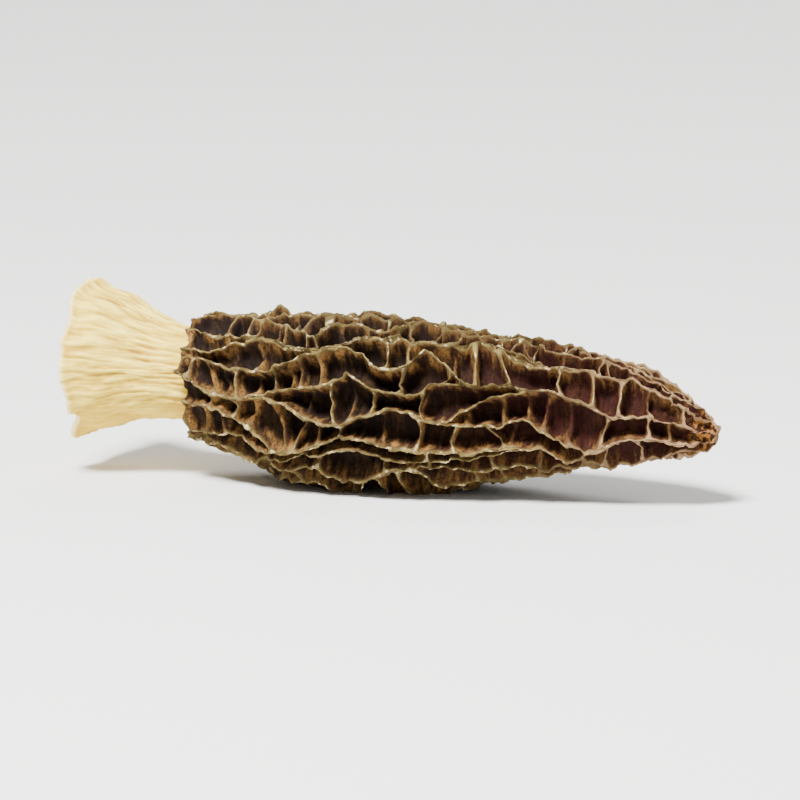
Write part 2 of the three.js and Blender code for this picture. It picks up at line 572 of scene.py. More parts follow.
# From the top of the morel to its belly. Each course is in view steps, right and down.
FRONT_RIDGES = (
    Ridge(
        "crown",
        ((353, 623), (362, 622.6), (370, 623.3), (376, 622.7), (381, 621.3), (390, 622), (400, 622.5),
         (410, 623.3), (420, 624), (430, 625.5), (438, 627), (446, 629.7), (452, 630.7), (460, 630),
         (468, 632), (474, 633.3), (480, 636.3), (489, 641), (498, 646), (505, 651), (511, 655.5)),
    ),
    Ridge("nap", (), between=("crown", "tuck")),
    Ridge(
        "tuck",
        ((366, 623.5), (372, 624.7), (376, 625), (380, 625.7), (385, 628), (389, 628.8), (394, 627),
         (398, 626), (402, 626.5), (412, 627.7), (420, 626.6), (430, 628), (436, 629.6), (441, 631.2),
         (445, 632.3), (449, 634.3), (453, 636.3), (457, 638.6), (460.5, 640)),
        joins="brow",
        between=("crown", "brow"),
    ),
    Ridge(
        "brow",
        ((353.5, 627.5), (357, 629.5), (363, 629.8), (369, 630.6), (375, 631), (380, 632.8), (384, 633.8),
         (389, 634.4), (394, 633.6), (399, 632.3), (403, 630.3), (407, 630.6), (412, 631), (419.5, 631.7),
         (426, 632.5), (432, 633), (440, 632.8), (446, 634.5), (452, 637.5), (457, 639.4), (463, 639.8),
         (468, 640.1), (473, 641), (479, 643), (485, 643.3), (490, 645.5), (496, 649.3), (501, 651.5),
         (506, 655), (511, 657)),
    ),
    Ridge(
        "lash",
        ((355, 634.6), (358, 633.8), (362, 632.7), (367, 631.8), (371, 631)),
        joins="brow",
    ),
    Ridge(
        "lens",
        ((353.5, 636.8), (357, 638.2), (362, 639.4), (370, 639.9), (376, 639.8), (380, 638.5), (384, 636.6),
         (388, 635.3), (394, 634.4), (399, 633.2), (403, 634.6), (408, 639), (414, 640.3), (418, 638.5),
         (422, 635.3), (426, 636), (430, 639.5), (433, 642.8), (437, 644.6), (445, 644.8), (450, 645.8),
         (454, 646.5)),
        joins="middle",
    ),
    Ridge(
        "cheek",
        ((350.5, 641.8), (353, 644.2), (356, 647), (360, 648.7), (366, 649.2), (372, 648.4), (376, 647.6),
         (382, 646.8), (388, 646.3), (393, 645.2), (396.5, 643), (399.5, 640.8), (402, 642), (405, 644.8),
         (409, 646.8), (413, 648), (418, 648.5), (421, 647.8), (424, 645.8), (428, 644.8), (433, 644.4)),
        joins="lens",
    ),
    Ridge(
        "middle",
        ((374, 648.8), (381, 651.6), (386, 654.6), (391, 657.2), (396, 657.4), (400, 656.5), (404, 654.6),
         (409, 653.2), (414, 652.9), (418, 653.8), (422, 656), (427, 656.6), (431, 655.5), (435, 653),
         (440, 650), (447, 648.5), (454, 646.7), (458, 646.3), (462, 646.9), (466, 648.6), (470, 650.2),
         (474, 652), (478, 654.6), (483, 655), (489, 654.6), (495, 656), (501, 657.3), (507, 659),
         (511, 659.5)),
        leaves="cheek",
    ),
    Ridge(
        "lower_lip",
        ((423, 656.2), (428, 657.3), (434, 657.5), (440, 657.6), (447, 658), (451, 656.7), (454, 657),
         (457, 659.2), (461, 662), (465, 663.3), (470, 664.5)),
        leaves="middle",
        joins="jaw",
    ),
    Ridge(
        "collar",
        ((350, 651), (355, 651.5), (360, 652.5), (365, 655.5), (370, 659.5), (374, 663.5)),
        joins="jaw",
    ),
    Ridge(
        "jaw",
        ((349, 656), (352, 659), (355, 660), (362, 660.8), (366, 662), (370, 664), (375, 665.5), (381, 665.8),
         (387, 665.2), (391, 663.3), (395, 661.7), (399, 661.3), (404, 662), (409, 663.5), (414, 664.8),
         (420, 665.5), (430, 665.9), (440, 665.6), (450, 664.8), (455, 664.4), (459, 665), (462, 667),
         (466, 668.5), (469, 668), (472, 666), (476, 664.6), (480, 662.7), (484, 661.6), (490, 661.8),
         (496, 662.5), (503, 663), (510, 661.8)),
    ),
    Ridge(
        "keel",
        ((352, 661.5), (357, 662.8), (362, 664), (366, 666.5), (370, 668), (376, 668.8), (381, 668.3),
         (386, 667.5), (390, 667), (395, 665.6), (400, 665), (405, 665.6), (409, 666.8), (413, 668),
         (418, 669), (424, 668.5), (432, 668), (440, 667.5), (446, 667), (451, 665.6)),
        joins="jaw",
    ),
    Ridge(
        "belly_edge",
        ((374, 669.3), (381, 671.5), (386, 671.5), (390, 670.5), (394, 673), (400, 675), (405, 674.2),
         (411, 671.9), (417, 670.5), (425, 671), (433, 671.2), (441, 671.5), (450, 671), (460, 671),
         (470, 669.8), (480, 669.7), (490, 668.3), (500, 665.5), (510, 663)),
        leaves="keel",
    ),
)

# The lanes between the crown and the brow, and those under the jaw.
CROWN_LANES = (0, 1, 2)
BELLY_LANES = (10, 11, 12)

# Cross ribs on the front: each one's top, right and down, its foot on the ridge below, and its rise.
FRONT_RIBS = (
    (371, 624.6, 369.4, 630.4, 1.0), (380.6, 626.4, 379.3, 632.3, 0.95), (389.3, 629, 389.3, 634, 0.9),
    (397, 626.5, 398.3, 632.3, 0.8), (410, 628, 410.8, 630.8, 0.8), (419, 627, 420, 631.5, 0.9),
    (430, 627.3, 431, 632.7, 0.8), (385, 622, 384, 627.3, 0.8), (395, 622.4, 394, 626.8, 0.9),
    (404, 623, 404, 626.7, 0.8), (415, 623.8, 413, 627.4, 0.8), (427, 625.2, 425, 626.8, 0.8),
    (361, 623, 360.5, 629.5, 0.35), (364, 633.5, 365, 639.3, 0.3), (371.5, 632, 372, 639.6, 0.45),
    (377, 633, 378, 638.8, 0.3), (351.8, 637.4, 350.6, 641.4, 0.95), (356.5, 638.6, 359, 648.2, 0.8),
    (361, 640, 362.5, 648.6, 0.35), (365.3, 640.2, 365, 649, 0.95), (371, 640.4, 371, 648.2, 0.35),
    (376.7, 640.3, 376.5, 647.4, 0.9), (380.5, 639, 381.5, 646.6, 0.5), (384.5, 637, 385.5, 646.4, 0.8),
    (390, 636, 391, 645.7, 0.85), (411.2, 631.4, 411, 640, 0.95), (419.6, 632.2, 418.3, 638.4, 1.0),
    (432, 633.3, 432.4, 641.8, 0.5), (438, 633.5, 438, 644.4, 1.0), (445, 634.8, 448.5, 645.3, 1.0),
    (416.5, 640.2, 415.3, 648, 0.95), (430.3, 640.2, 427.6, 644.6, 0.9), (394.8, 645.3, 395, 656.8, 0.95),
    (407, 646, 405.2, 654, 0.95), (422.3, 647.3, 421.3, 655.4, 1.0), (387.5, 647, 387, 654.5, 0.35),
    (400.5, 642, 400.5, 656, 0.3), (376, 650, 380.3, 664.8, 0.8), (386.5, 655, 382, 665, 0.85),
    (391.5, 657.8, 389.5, 663.8, 0.8), (397.5, 657.6, 396, 661.2, 0.9), (421, 656.2, 420.4, 665.3, 0.95),
    (409, 654, 409.5, 663.2, 0.35), (355, 651.6, 356, 659.8, 0.8), (365, 649.6, 363.5, 654.4, 0.9),
    (357.5, 648.6, 357, 651.8, 0.8), (360.5, 653, 362, 660.6, 0.7), (370.5, 649, 369, 658.5, 0.7),
    (446.6, 649.3, 447, 657.8, 0.8), (435, 653.5, 435.5, 657.3, 0.6), (454.5, 647.5, 455, 656.8, 0.5),
    (460.5, 647.5, 458.5, 660, 0.7), (433, 657.8, 431, 665.6, 0.9), (441.5, 658, 447.5, 664.6, 0.9),
    (449.5, 658, 448.8, 664.6, 0.5), (466.5, 649.5, 466, 662.5, 0.35), (478.4, 655.2, 475.4, 664.2, 0.95),
    (489.6, 655.2, 490, 661.4, 0.95), (497, 656.8, 497.2, 662.2, 0.8), (422, 665.9, 423, 668.3, 0.9),
    (435, 666.2, 434.5, 667.7, 0.9), (391, 667.4, 390, 670.4, 0.9), (411, 667.6, 411.5, 671.6, 1.0),
    (424, 668.8, 424, 670.8, 0.9), (443, 667.4, 444, 671.2, 0.9), (458, 665.4, 457, 670.8, 0.8),
    (470, 667.8, 471, 669.6, 0.9), (478.3, 664.5, 477, 669.6, 0.9), (487, 662, 489, 668.3, 0.9),
    (464, 640.2, 464.3, 647.3, 0.95), (473.3, 641.4, 473.6, 651.3, 0.95), (482.5, 643.6, 481.5, 654.6, 0.95),
    (491, 646.4, 490.5, 654.6, 0.8), (501, 651.9, 501.5, 657, 0.9), (453.5, 631, 457.5, 638.6, 0.9),
    (466.3, 632, 463.6, 639.5, 0.95), (473, 633.6, 472.5, 640.6, 0.9), (480, 636.8, 479.5, 642.6, 0.9),
    (489, 641.3, 487, 643.6, 0.8),
)


@dataclass
class Rib:
    """A low wall across a lane, from the ridge on one side to the ridge on the other."""

    start_x: float
    end_x: float
    rise: float
    sag: float
    bow: float

    def line(self, share: np.ndarray) -> np.ndarray:
        """The rib's distance from the margin, at a share of the way across its lane."""
        return self.start_x + (self.end_x - self.start_x) * share + self.bow * 4 * share * (1 - share)


@dataclass
class RidgeWork:
    """All the ridges and ribs of the cap: the angle of each ridge at each level, and each lane's ribs."""

    form: Form
    view: FrontView
    levels: np.ndarray
    rng: np.random.Generator
    hidden_ridges: int = 11
    # How ridges placed by rule wander: shares of the room they have, and the lengths of the waves.
    hidden_wander: Pairs = ((0.26, 7.0), (0.1, 2.6))
    between_wander: Pairs = ((0.25, 6.0), (0.12, 2.6))
    # Where every second hidden ridge runs into a neighbour, for good and on the way, and for how far.
    end_at: tuple[float, float] = (34, 50)
    meet_at: Pairs = ((4, 16), (20, 34))
    meet_for: tuple[float, float] = (3.5, 5.5)
    # Random ribs: the first one's place, the tip that has none, and their rises with the odds of each.
    first_rib: tuple[float, float] = (1.5, 5)
    ribless_tip: float = 2.5
    rib_rises: Pairs = ((1.0, 0.35), (0.9, 0.3), (0.8, 0.2), (0.4, 0.15))
    # How far they lean along X, bow and sag. A drawn rib's bow and sag are random too.
    rib_lean: tuple[float, float] = (-0.8, 0.8)
    rib_bow: tuple[float, float] = (-0.3, 0.3)
    rib_sag: tuple[float, float] = (0, 0.35)
    drawn_sag: tuple[float, float] = (0.05, 0.35)
    # The least and the most from one to the next, out of sight and in the crown's tangle.
    rib_spacing: tuple[float, float] = (2.4, 5.6)
    fold_spacing: tuple[float, float] = (1.8, 4.2)
    # The share of the lanes that end in a rib at the margin, and that rib's place, rise and sag.
    closed_share: float = 0.7
    closing_x: float = 0.15
    closing_rise: tuple[float, float] = (0.65, 0.95)
    closing_sag: float = 0.2
    crest_gap: float = 0.05
    # How far a rib pulls a ridge, how fast that fades along it, and the radius at which it pulls hardest.
    kink: float = 0.3
    kink_reach: float = 1.1
    kink_radius: float = 1.5
    angles: np.ndarray = field(init=False)
    ribs: list[list[Rib]] = field(init=False)

    def __post_init__(self) -> None:
        """Lays out the front from its drawn courses, then the rest by rule."""
        front = self.front_angles()
        self.angles = np.vstack([front, self.hidden_angles(front)])
        self.ribs = [[] for _ in self.angles]
        self.place_front_ribs()
        for lane in range(len(front) - 1, len(self.angles)):
            self.ribs[lane] = self.random_ribs(*self.rib_spacing)
        for lane in CROWN_LANES:
            self.ribs[lane] += self.random_ribs(*self.fold_spacing)
        for ribs in self.ribs:
            if self.rng.random() < self.closed_share:
                rise = self.rng.uniform(*self.closing_rise)
                ribs.append(Rib(self.closing_x, self.closing_x, rise, self.closing_sag, 0))
        self.bend_towards_ribs(len(front))
        self.keep_apart()

    def wander(self, parts: Pairs) -> np.ndarray:
        """Adds up random wanders over all levels, each given as its size and the length of its waves."""
        return sum(size * drift(self.rng, self.levels, wave) for size, wave in parts)

    def front_angles(self) -> np.ndarray:
        """Works out the drawn ridges.

        Returns:
            Their angles, as ridges by levels.
        """
        x = self.levels
        angles = np.full((len(FRONT_RIDGES), len(x)), np.nan)
        for row, ridge in zip(angles, FRONT_RIDGES):
            if not ridge.spots:
                continue
            at, angle = self.view.onto(self.form, ridge.spots)
            at = np.maximum.accumulate(at + 1e-3 * np.arange(len(at)))
            row[:] = along(list(zip(at, angle)), x)
            if ridge.leaves or ridge.between:
                row[x < at[0]] = np.nan
            if ridge.joins or ridge.between:
                row[x > at[-1]] = np.nan
        by_name = dict(zip([ridge.name for ridge in FRONT_RIDGES], angles))
        # A ridge may run into one that has itself joined another by then, so this is done as often as needed.
        for _ in FRONT_RIDGES:
            for row, ridge in zip(angles, FRONT_RIDGES):
                missing = np.isnan(row)
                drawn = np.flatnonzero(~missing)
                if ridge.leaves:
                    before = missing & (np.arange(len(x)) < drawn[0])
                    row[before] = by_name[ridge.leaves][before]
                if ridge.joins:
                    after = missing & (np.arange(len(x)) > drawn[-1])
                    row[after] = by_name[ridge.joins][after]
                missing = np.isnan(row)
                if ridge.between and missing.any():
                    above, below = (by_name[name] for name in ridge.between)
                    row[missing] = self.kept_between(row, above, below)[missing]
        return angles

    def kept_between(self, drawn: np.ndarray, above: np.ndarray, below: np.ndarray) -> np.ndarray:
        """Runs a ridge on between two others from where its drawn course ends.

        Args:
            drawn: The ridge's angles, which aren't numbers where it isn't drawn.
            above: The angles of the ridge above.
            below: The angles of the ridge below.

        Returns:
            Its angles at every level.
        """
        x = self.levels
        wander = 0.5 + self.wander(self.between_wander)
        # Its share of the way between the two can't be told where they have met.
        known = np.flatnonzero(~np.isnan(drawn) & (below != above))
        if len(known):
            share = (drawn - above)[known] / (below - above)[known]
            away = np.maximum(x[known[0]] - x, x - x[known[-1]])
            free = ease(away / 5)
            wander = np.interp(x, x[known], share) * (1 - free) + wander * free
        return above + (below - above) * np.clip(wander, 0, 1)

    def hidden_angles(self, front: np.ndarray) -> np.ndarray:
        """Spreads the ridges that run behind and underneath between the drawn ones.

        Every second ridge runs into the one before or after it here and there, and for good near the tip.

        Args:
            front: The drawn ridges' angles.

        Returns:
            The hidden ridges' angles at every level.
        """
        x, count = self.levels, self.hidden_ridges
        share = np.zeros((count + 2, len(x)))
        share[-1] = 1
        for i in range(1, count + 1):
            share[i] = (i + self.wander(self.hidden_wander)) / (count + 1)
        for i in range(1, count + 1, 2):
            ends = ease((x - self.rng.uniform(*self.end_at)) / 4)
            share[i] = share[i] * (1 - ends) + share[i - 1] * ends
            for at in [self.rng.uniform(*stretch) for stretch in self.meet_at]:
                other = share[i + self.rng.choice([-1, 1])]
                meets = ease((self.rng.uniform(*self.meet_for) - np.abs(x - at)) / 3)
                share[i] = share[i] * (1 - meets) + other * meets
        first, last = front[-1], front[0] + TURN
        return first + (last - first) * share[1:-1]

    def place_front_ribs(self) -> None:
        """Gives each drawn rib to the lane that it crosses."""
        tops = self.view.onto(self.form, [rib[:2] for rib in FRONT_RIBS])
        feet = self.view.onto(self.form, [rib[2:4] for rib in FRONT_RIBS])
        for top_x, top, foot_x, foot, (*_, rise) in zip(*tops, *feet, FRONT_RIBS):
            level = int(np.argmin(np.abs(self.levels - (top_x + foot_x) / 2)))
            lane = int(np.searchsorted(self.angles[: len(FRONT_RIDGES), level], (top + foot) / 2)) - 1
            lane = max(0, min(lane, len(FRONT_RIDGES) - 2))
            sag, bow = self.rng.uniform(*self.drawn_sag), self.rng.uniform(*self.rib_bow)
            self.ribs[lane].append(Rib(float(top_x), float(foot_x), rise, sag, bow))

    def random_ribs(self, least: float, most: float) -> list[Rib]:
        """Fills a lane with ribs at random spacings.

        Args:
            least: The smallest spacing.
            most: The largest spacing.

        Returns:
            The ribs, from the margin to the tip.
        """
        rises, odds = zip(*self.rib_rises)
        ribs, x = [], self.rng.uniform(*self.first_rib)
        while x < self.form.cap_length - self.ribless_tip:
            lean = self.rng.uniform(*self.rib_lean)
            rise = self.rng.choice(rises, p=odds)
            sag, bow = self.rng.uniform(*self.rib_sag), self.rng.uniform(*self.rib_bow)
            ribs.append(Rib(x - lean / 2, x + lean / 2, rise, sag, bow))
            x += self.rng.uniform(least, most)
        return ribs

    def bend_towards_ribs(self, drawn: int) -> None:
        """Pulls each ridge out of sight a little towards every rib that meets it, as drying flesh is pulled.

        Args:
            drawn: How many ridges are drawn, which stay where they are.
        """
        pull = np.zeros_like(self.angles)
        for lane, ribs in enumerate(self.ribs):
            after = (lane + 1) % len(self.angles)
            for rib in ribs:
                for ridge, at, way in ((lane, rib.start_x, 1), (after, rib.end_x, -1)):
                    near = np.exp(-np.abs(self.levels - at) / self.kink_reach)
                    pull[ridge] += way * self.kink * rib.rise * near
        radius = np.maximum(self.form.half_height(self.levels), self.kink_radius)
        self.angles[drawn:] += (pull / radius)[drawn:]

    def keep_apart(self) -> None:
        """Keeps neighbouring crests in order, at least a thin gap apart."""
        gap = np.minimum(self.crest_gap / np.maximum(self.form.half_height(self.levels), 0.1), 0.02)
        for i in range(1, len(self.angles)):
            self.angles[i] = np.maximum(self.angles[i], self.angles[i - 1] + gap)
        limit = self.angles[0] + TURN
        for i in range(len(self.angles) - 1, 0, -1):
            limit = limit - gap
            self.angles[i] = np.minimum(self.angles[i], limit)


# ---- the cap


@dataclass
class Cap:
    """The cap: a hollow body whose skin is sunk into pits between thin ridges and ribs."""

    form: Form
    work: RidgeWork
    finish: DriedFlesh
    pit_depth: Stations = (
        (0, 1.15), (3, 1.7), (6, 2.35), (9, 2.8), (20, 3.2), (36, 2.8), (48, 2.3), (53, 1.9), (57.4, 0.9),
    )
    # Painted shade: between these depths all full pits are equally dark. Deeper ones are darker and shallower
    # ones paler.
    dark_depths: tuple[float, float] = (1.15, 2.8)
    # Lanes that are about as narrow as this have shallower pits.
    narrow_lane: float = 1.2
    # Between lanes narrower than this, a crest leans less.
    leaning_room: float = 2.5
    # Each half lane's columns: their distance from the ridge, then their share of the pit's depth.
    crest_offsets: tuple[float, ...] = (0.0, 0.12, 0.16, 0.29, 0.58)
    lane_shares: tuple[float, ...] = (0.0, 0.03, 0.22, 0.62, 0.88, 0.97, 1.0)
    crest_share: Stations = ((0, 1), (20, 1), (45, 0.72), (57.4, 0.6))
    # Half the width of a lane that has its crests' whole thickness.
    full_lane: float = 0.95
    # From this step on, a column's rows lie along the ribs, and none is moved further than this for it.
    settled_step: int = 3
    row_shift: float = 1.3
    # Half a rib's thickness at its crest and foot, and how much it widens where it meets a ridge.
    rib_crest: float = 0.07
    rib_foot: float = 0.45
    rib_web: float = 0.32
    fin_height: float = 0.9
    # A rib's colour goes from the pit's to the crest's as it rises: gain times its rise, less shade.
    rib_gain: float = 1.6
    rib_shade: float = 0.45
    # The lit share of the crown's and the belly's lanes, which lie in painted shade: it dims the walls'
    # painted orange brown glow and darkens the crests there.
    crown_glow: float = 0.35
    belly_glow: float = 0.6
    # Painted shade: how many times as dark as their depth makes them the crown's pits are.
    crown_shade_gain: float = 1.6
    # How far crests wander down, jag and lean over, each with the length of its waves.
    dip: tuple[float, float] = (0.45, 2.3)
    jag: tuple[float, float] = (0.26, 0.9)
    lean: tuple[float, float] = (0.38, 4.5)
    # Each tooth that stands up from a crest: its ridge, its distance from the margin and its height.
    teeth: Sequence[tuple[int, float, float]] = (
        (0, 8.1, 0.85), (0, 1.2, 0.4), (3, 23.9, 0.6), (5, 12.0, 0.5),
    )
    tooth_spread: float = 0.85
    # Where the body is thinner than these, crests lean no more and dip less.
    least_radius: float = 2.5
    dip_radius: float = 3.0
    # How far the ridges' ends stand out over the stem, how ragged they are, and how far that reaches.
    ridge_ends: float = 0.25
    ragged_ends: float = 0.45
    ends_reach: float = 5.0
    # The tip crumples more, from here on and over this distance.
    tip_crumple: float = 0.6
    tip_from: float = 51.0
    tip_run: float = 5.0
    # The flesh between the hollow and the pits' floors, and at the tip.
    flesh: float = 1.0
    tip_flesh: float = 7.0
    hollow_rings: int = 14
    # The hollow's rings end here. Then come two where the stem enters, with their own half height.
    hollow_end: float = 5.5
    mouth_x: tuple[float, ...] = (4.0, 1.2)
    mouth: float = 4.85

    def crest_moves(self, widths: np.ndarray) -> tuple[list[np.ndarray], list[np.ndarray]]:
        """Works out how each crest dips and leans along its course.

        Args:
            widths: The lanes' widths, as lanes by levels.

        Returns:
            Each ridge's dips into the body, and its leans round it.
        """
        levels = self.work.levels
        rng = np.random.default_rng(11)
        dips = [self.dip[0] * np.maximum(0, drift(rng, levels, self.dip[1])) for _ in widths]
        dips = [dip + self.jag[0] * drift(rng, levels, self.jag[1]) for dip in dips]
        for ridge, at, rise in self.teeth:
            dips[ridge] = dips[ridge] - rise * np.exp(-(((levels - at) / self.tooth_spread) ** 2))
        room = np.clip(np.minimum(widths, np.roll(widths, 1, 0)) / self.leaning_room, 0, 1)
        return dips, [self.lean[0] * drift(rng, levels, self.lean[1]) * free for free in room]

    def skin(self) -> dict[str, np.ndarray]:
        """Works out the outer skin.

        Returns:
            The place, depth, darkness and lit share of every point, as levels by columns. The darkness is
            partly painted shade.
        """
        levels, angles = self.work.levels, self.work.angles
        ends = [*angles[1:], angles[0] + TURN]
        widths = np.stack([self.lane_width(levels, a, b) for a, b in zip(angles, ends)])
        dips, leans = self.crest_moves(widths)
        steps = len(self.lane_shares) - 1
        across = [*range(steps), *range(steps, 0, -1)]
        found = []
        for lane in range(len(angles)):
            after = (lane + 1) % len(angles)
            # The crown's pits are darkened with painted shade.
            gain = self.crown_shade_gain if lane in CROWN_LANES else 1.0
            for column, step in enumerate(across):
                share = self.lane_shares[step]
                far = column > steps
                at_level = self.way_across(levels, widths[lane], step, far)
                x = self.rows_on_ribs(lane, at_level, min(1.0, step / self.settled_step))
                left, right = np.interp(x, levels, angles[lane]), np.interp(x, levels, ends[lane])
                width = self.lane_width(x, left, right)
                mix = self.way_across(x, width, step, far)
                lean, dip = (
                    (1 - mix) * np.interp(x, levels, moves[lane]) + mix * np.interp(x, levels, moves[after])
                    for moves in (leans, dips)
                )
                radius = self.form.half_height(x)
                deepest = along(self.pit_depth, x)
                full = deepest * (1 - np.exp(-((width / self.narrow_lane) ** 2)))
                rise, pale = self.ribs_over(lane, x, mix)
                turned = lean * (1 - share) / np.maximum(radius, self.least_radius)
                lowered = dip * (1 - share) * ease(radius / self.dip_radius)
                # Painted shade: a point's darkness grows with its depth in the pit, and more on the crown.
                dark = np.clip(deepest, *self.dark_depths)
                found.append({
                    "x": x,
                    "angle": left + (right - left) * mix + turned,
                    "depth": full * share * (1 - rise) + lowered,
                    "pit": full * share * (1 - pale) / dark * gain,
                    # Each lane's lit share, which sets its painted light and shade.
                    "lit": np.full(len(levels), self.glow_in(lane)),
                })
        return {name: np.stack([each[name] for each in found], 1) for name in found[0]}

    def glow_in(self, lane: int) -> float:
        """A lane's lit share, which dims its walls' painted orange brown glow and darkens its crests with
        painted shade where it is low.
        """
        glow = self.crown_glow if lane in CROWN_LANES else 1.0
        return self.belly_glow if lane in BELLY_LANES else glow

    def way_across(self, x: np.ndarray, width: np.ndarray, step: int, far: bool) -> np.ndarray:
        """The share of the way across a lane that a column lies at.

        Args:
            x: Distances from the margin.
            width: The lane's width there.
            step: The column's step from its nearer ridge.
            far: True if the nearer ridge is the lane's second one.

        Returns:
            Shares from 0 to 1. The steps are squeezed where the lane is narrow.
        """
        tight = np.clip(width / 2 / self.full_lane, 0, 1) * along(self.crest_share, x)
        last = len(self.crest_offsets) - 1
        offset = self.crest_offsets[min(step, last)] * tight
        if step > last:
            offset = offset + (width / 2 - offset) * (step - last) / 2
        share = offset / width
        return 1 - share if far else share

    def rows_on_ribs(self, lane: int, share: np.ndarray, amount: float) -> np.ndarray:
        """Moves a column's points so that a row of the mesh lies along each rib.

        Args:
            lane: The lane's number.
            share: The column's share of the way across, at each level.
            amount: How much of the move to make.

        Returns:
            The points' distances from the margin.
        """
        levels = self.work.levels
        ribs = sorted(self.work.ribs[lane], key=lambda rib: rib.start_x + rib.end_x)
        rows = [int(np.argmin(np.abs(levels - (rib.start_x + rib.end_x) / 2))) for rib in ribs]
        shifts = [rib.line(share[row]) - levels[row] for rib, row in zip(ribs, rows)]
        knots = [-0.5, *levels[rows], self.form.cap_length + 0.5]
        shift = np.interp(levels, knots, np.clip([0, *shifts, 0], -self.row_shift, self.row_shift))
        return np.clip(np.maximum.accumulate(levels + amount * shift), 0, None)

    def ribs_over(self, lane: int, x: np.ndarray, share: np.ndarray) -> tuple[np.ndarray, np.ndarray]:
        """How the ribs of a lane fill it at each point of a column.

        Args:
            lane: The lane's number.
            x: The points' distances from the margin.
            share: The points' shares of the way across.

        Returns:
            How much of the pit's depth they fill, and how much of it is coloured like a crest.
        """
        rise, pale = np.zeros(len(x)), np.zeros(len(x))
        # Ribs widen where they meet the ridges, so a pit's corners are round.
        widening = self.rib_web * np.abs(2 * share - 1) ** 6
        for rib in self.work.ribs[lane]:
            away = np.abs(x - rib.line(share)) - widening
            wall = 1 - ease((away - self.rib_crest) / (self.rib_foot - self.rib_crest))
            # A low rib is only a fin, which climbs to the ridge at its foot.
            fin = np.clip(self.fin_height - rib.rise, 0, 1) * share**2
            middle = rib.rise * (1 - rib.sag * 4 * share * (1 - share)) + fin
            rise = np.maximum(rise, middle * wall)
            shade = np.clip(self.rib_gain * (rib.rise + fin) - self.rib_shade, 0, 1)
            pale = np.maximum(pale, wall * shade)
        return rise, pale

    def lane_width(self, x: np.ndarray, left: np.ndarray, right: np.ndarray) -> np.ndarray:
        """Measures a lane straight across.

        Args:
            x: Distances from the margin.
            left: The angle of the lane's first ridge there.
            right: The angle of its second ridge there.

        Returns:
            The lane's width at each place.
        """
        half = self.form.half_height(x)
        chord = self.form.ring(x, right, half) - self.form.ring(x, left, half)
        return np.maximum(np.linalg.norm(chord, axis=-1), 1e-3)

    def hollow(self, around: np.ndarray) -> np.ndarray:
        """Works out the hollow's wall, from inside the tip to the mouth.

        Args:
            around: The angles of its columns.

        Returns:
            Its points, as rings by columns.
        """
        x = np.linspace(self.form.cap_length - self.tip_flesh - 0.5, self.hollow_end, self.hollow_rings)
        half = self.form.half_height(x) - along(self.pit_depth, x) - self.flesh
        x = np.concatenate([x, self.mouth_x])
        half = np.concatenate([half, np.full(len(self.mouth_x), self.mouth)])
        return self.form.ring(x[:, None], np.tile(around, (len(x), 1)), half[:, None])

    def build(self) -> bpy.types.Object:
        """Makes the cap's mesh, sinks its pits and dresses it.

        Returns:
            The finished cap.
        """
        grid = self.skin()
        x, angle = grid["x"], grid["angle"]
        length = self.form.cap_length
        # The ridges' ends stand out over the stem, and the pits between them open on it.
        end = self.ridge_ends * np.interp(grid["pit"], (0, 0.5), (-1, 0.2))
        ragged = np.tile(np.random.default_rng(5).uniform(-1, 1, 24), 2)[:25]
        end = end + self.ragged_ends * np.interp(angle % TURN, np.linspace(0, TURN, 25), ragged)
        outer = self.form.ring(x, angle, self.form.half_height(x))
        outer[..., 0] += end * ease(1 - x / self.ends_reach)
        inner = self.hollow(angle[0])
        poles = self.form.ring(np.array([length - self.tip_flesh, length]), np.zeros(2), np.zeros(2))
        near_tip = ease((x - self.tip_from) / self.tip_run)
        # Each attribute's values on the hollow's rings, on the outer skin and at the two poles.
        stored = {
            "sink": (0, grid["depth"] * MM, (0, 0.2 * MM)),
            "pit": (0.5, grid["pit"], (0.5, 0.1)),
            "hollow": (np.arange(len(inner)) < self.hollow_rings, 0 * x, (1, 0)),
            "run": (0, x / length, (0, 1)),
            "lit": (0, grid["lit"], (0, 1)),
            "outside": (0, 1 + self.tip_crumple * near_tip, (0, 1 + self.tip_crumple)),
        }
        for name, (inside, outside, at_poles) in stored.items():
            rings = np.repeat(np.broadcast_to(inside, len(inner)), x.shape[1])
            stored[name] = np.concatenate([rings, outside.ravel(), at_poles])
        still, out = 0 * inner.reshape(-1, 3), self.form.outward(x, angle).reshape(-1, 3)
        stored["outward"] = np.concatenate([still, out, [[0, 0, 0], [1, 0, 0]]])
        skin = closed_skin("cap_skin", np.concatenate([inner, outer]), poles, stored, self.form.margin_x)
        return pit_relief().run_on("cap_flesh", skin, self.finish.build())


# ---- the stem


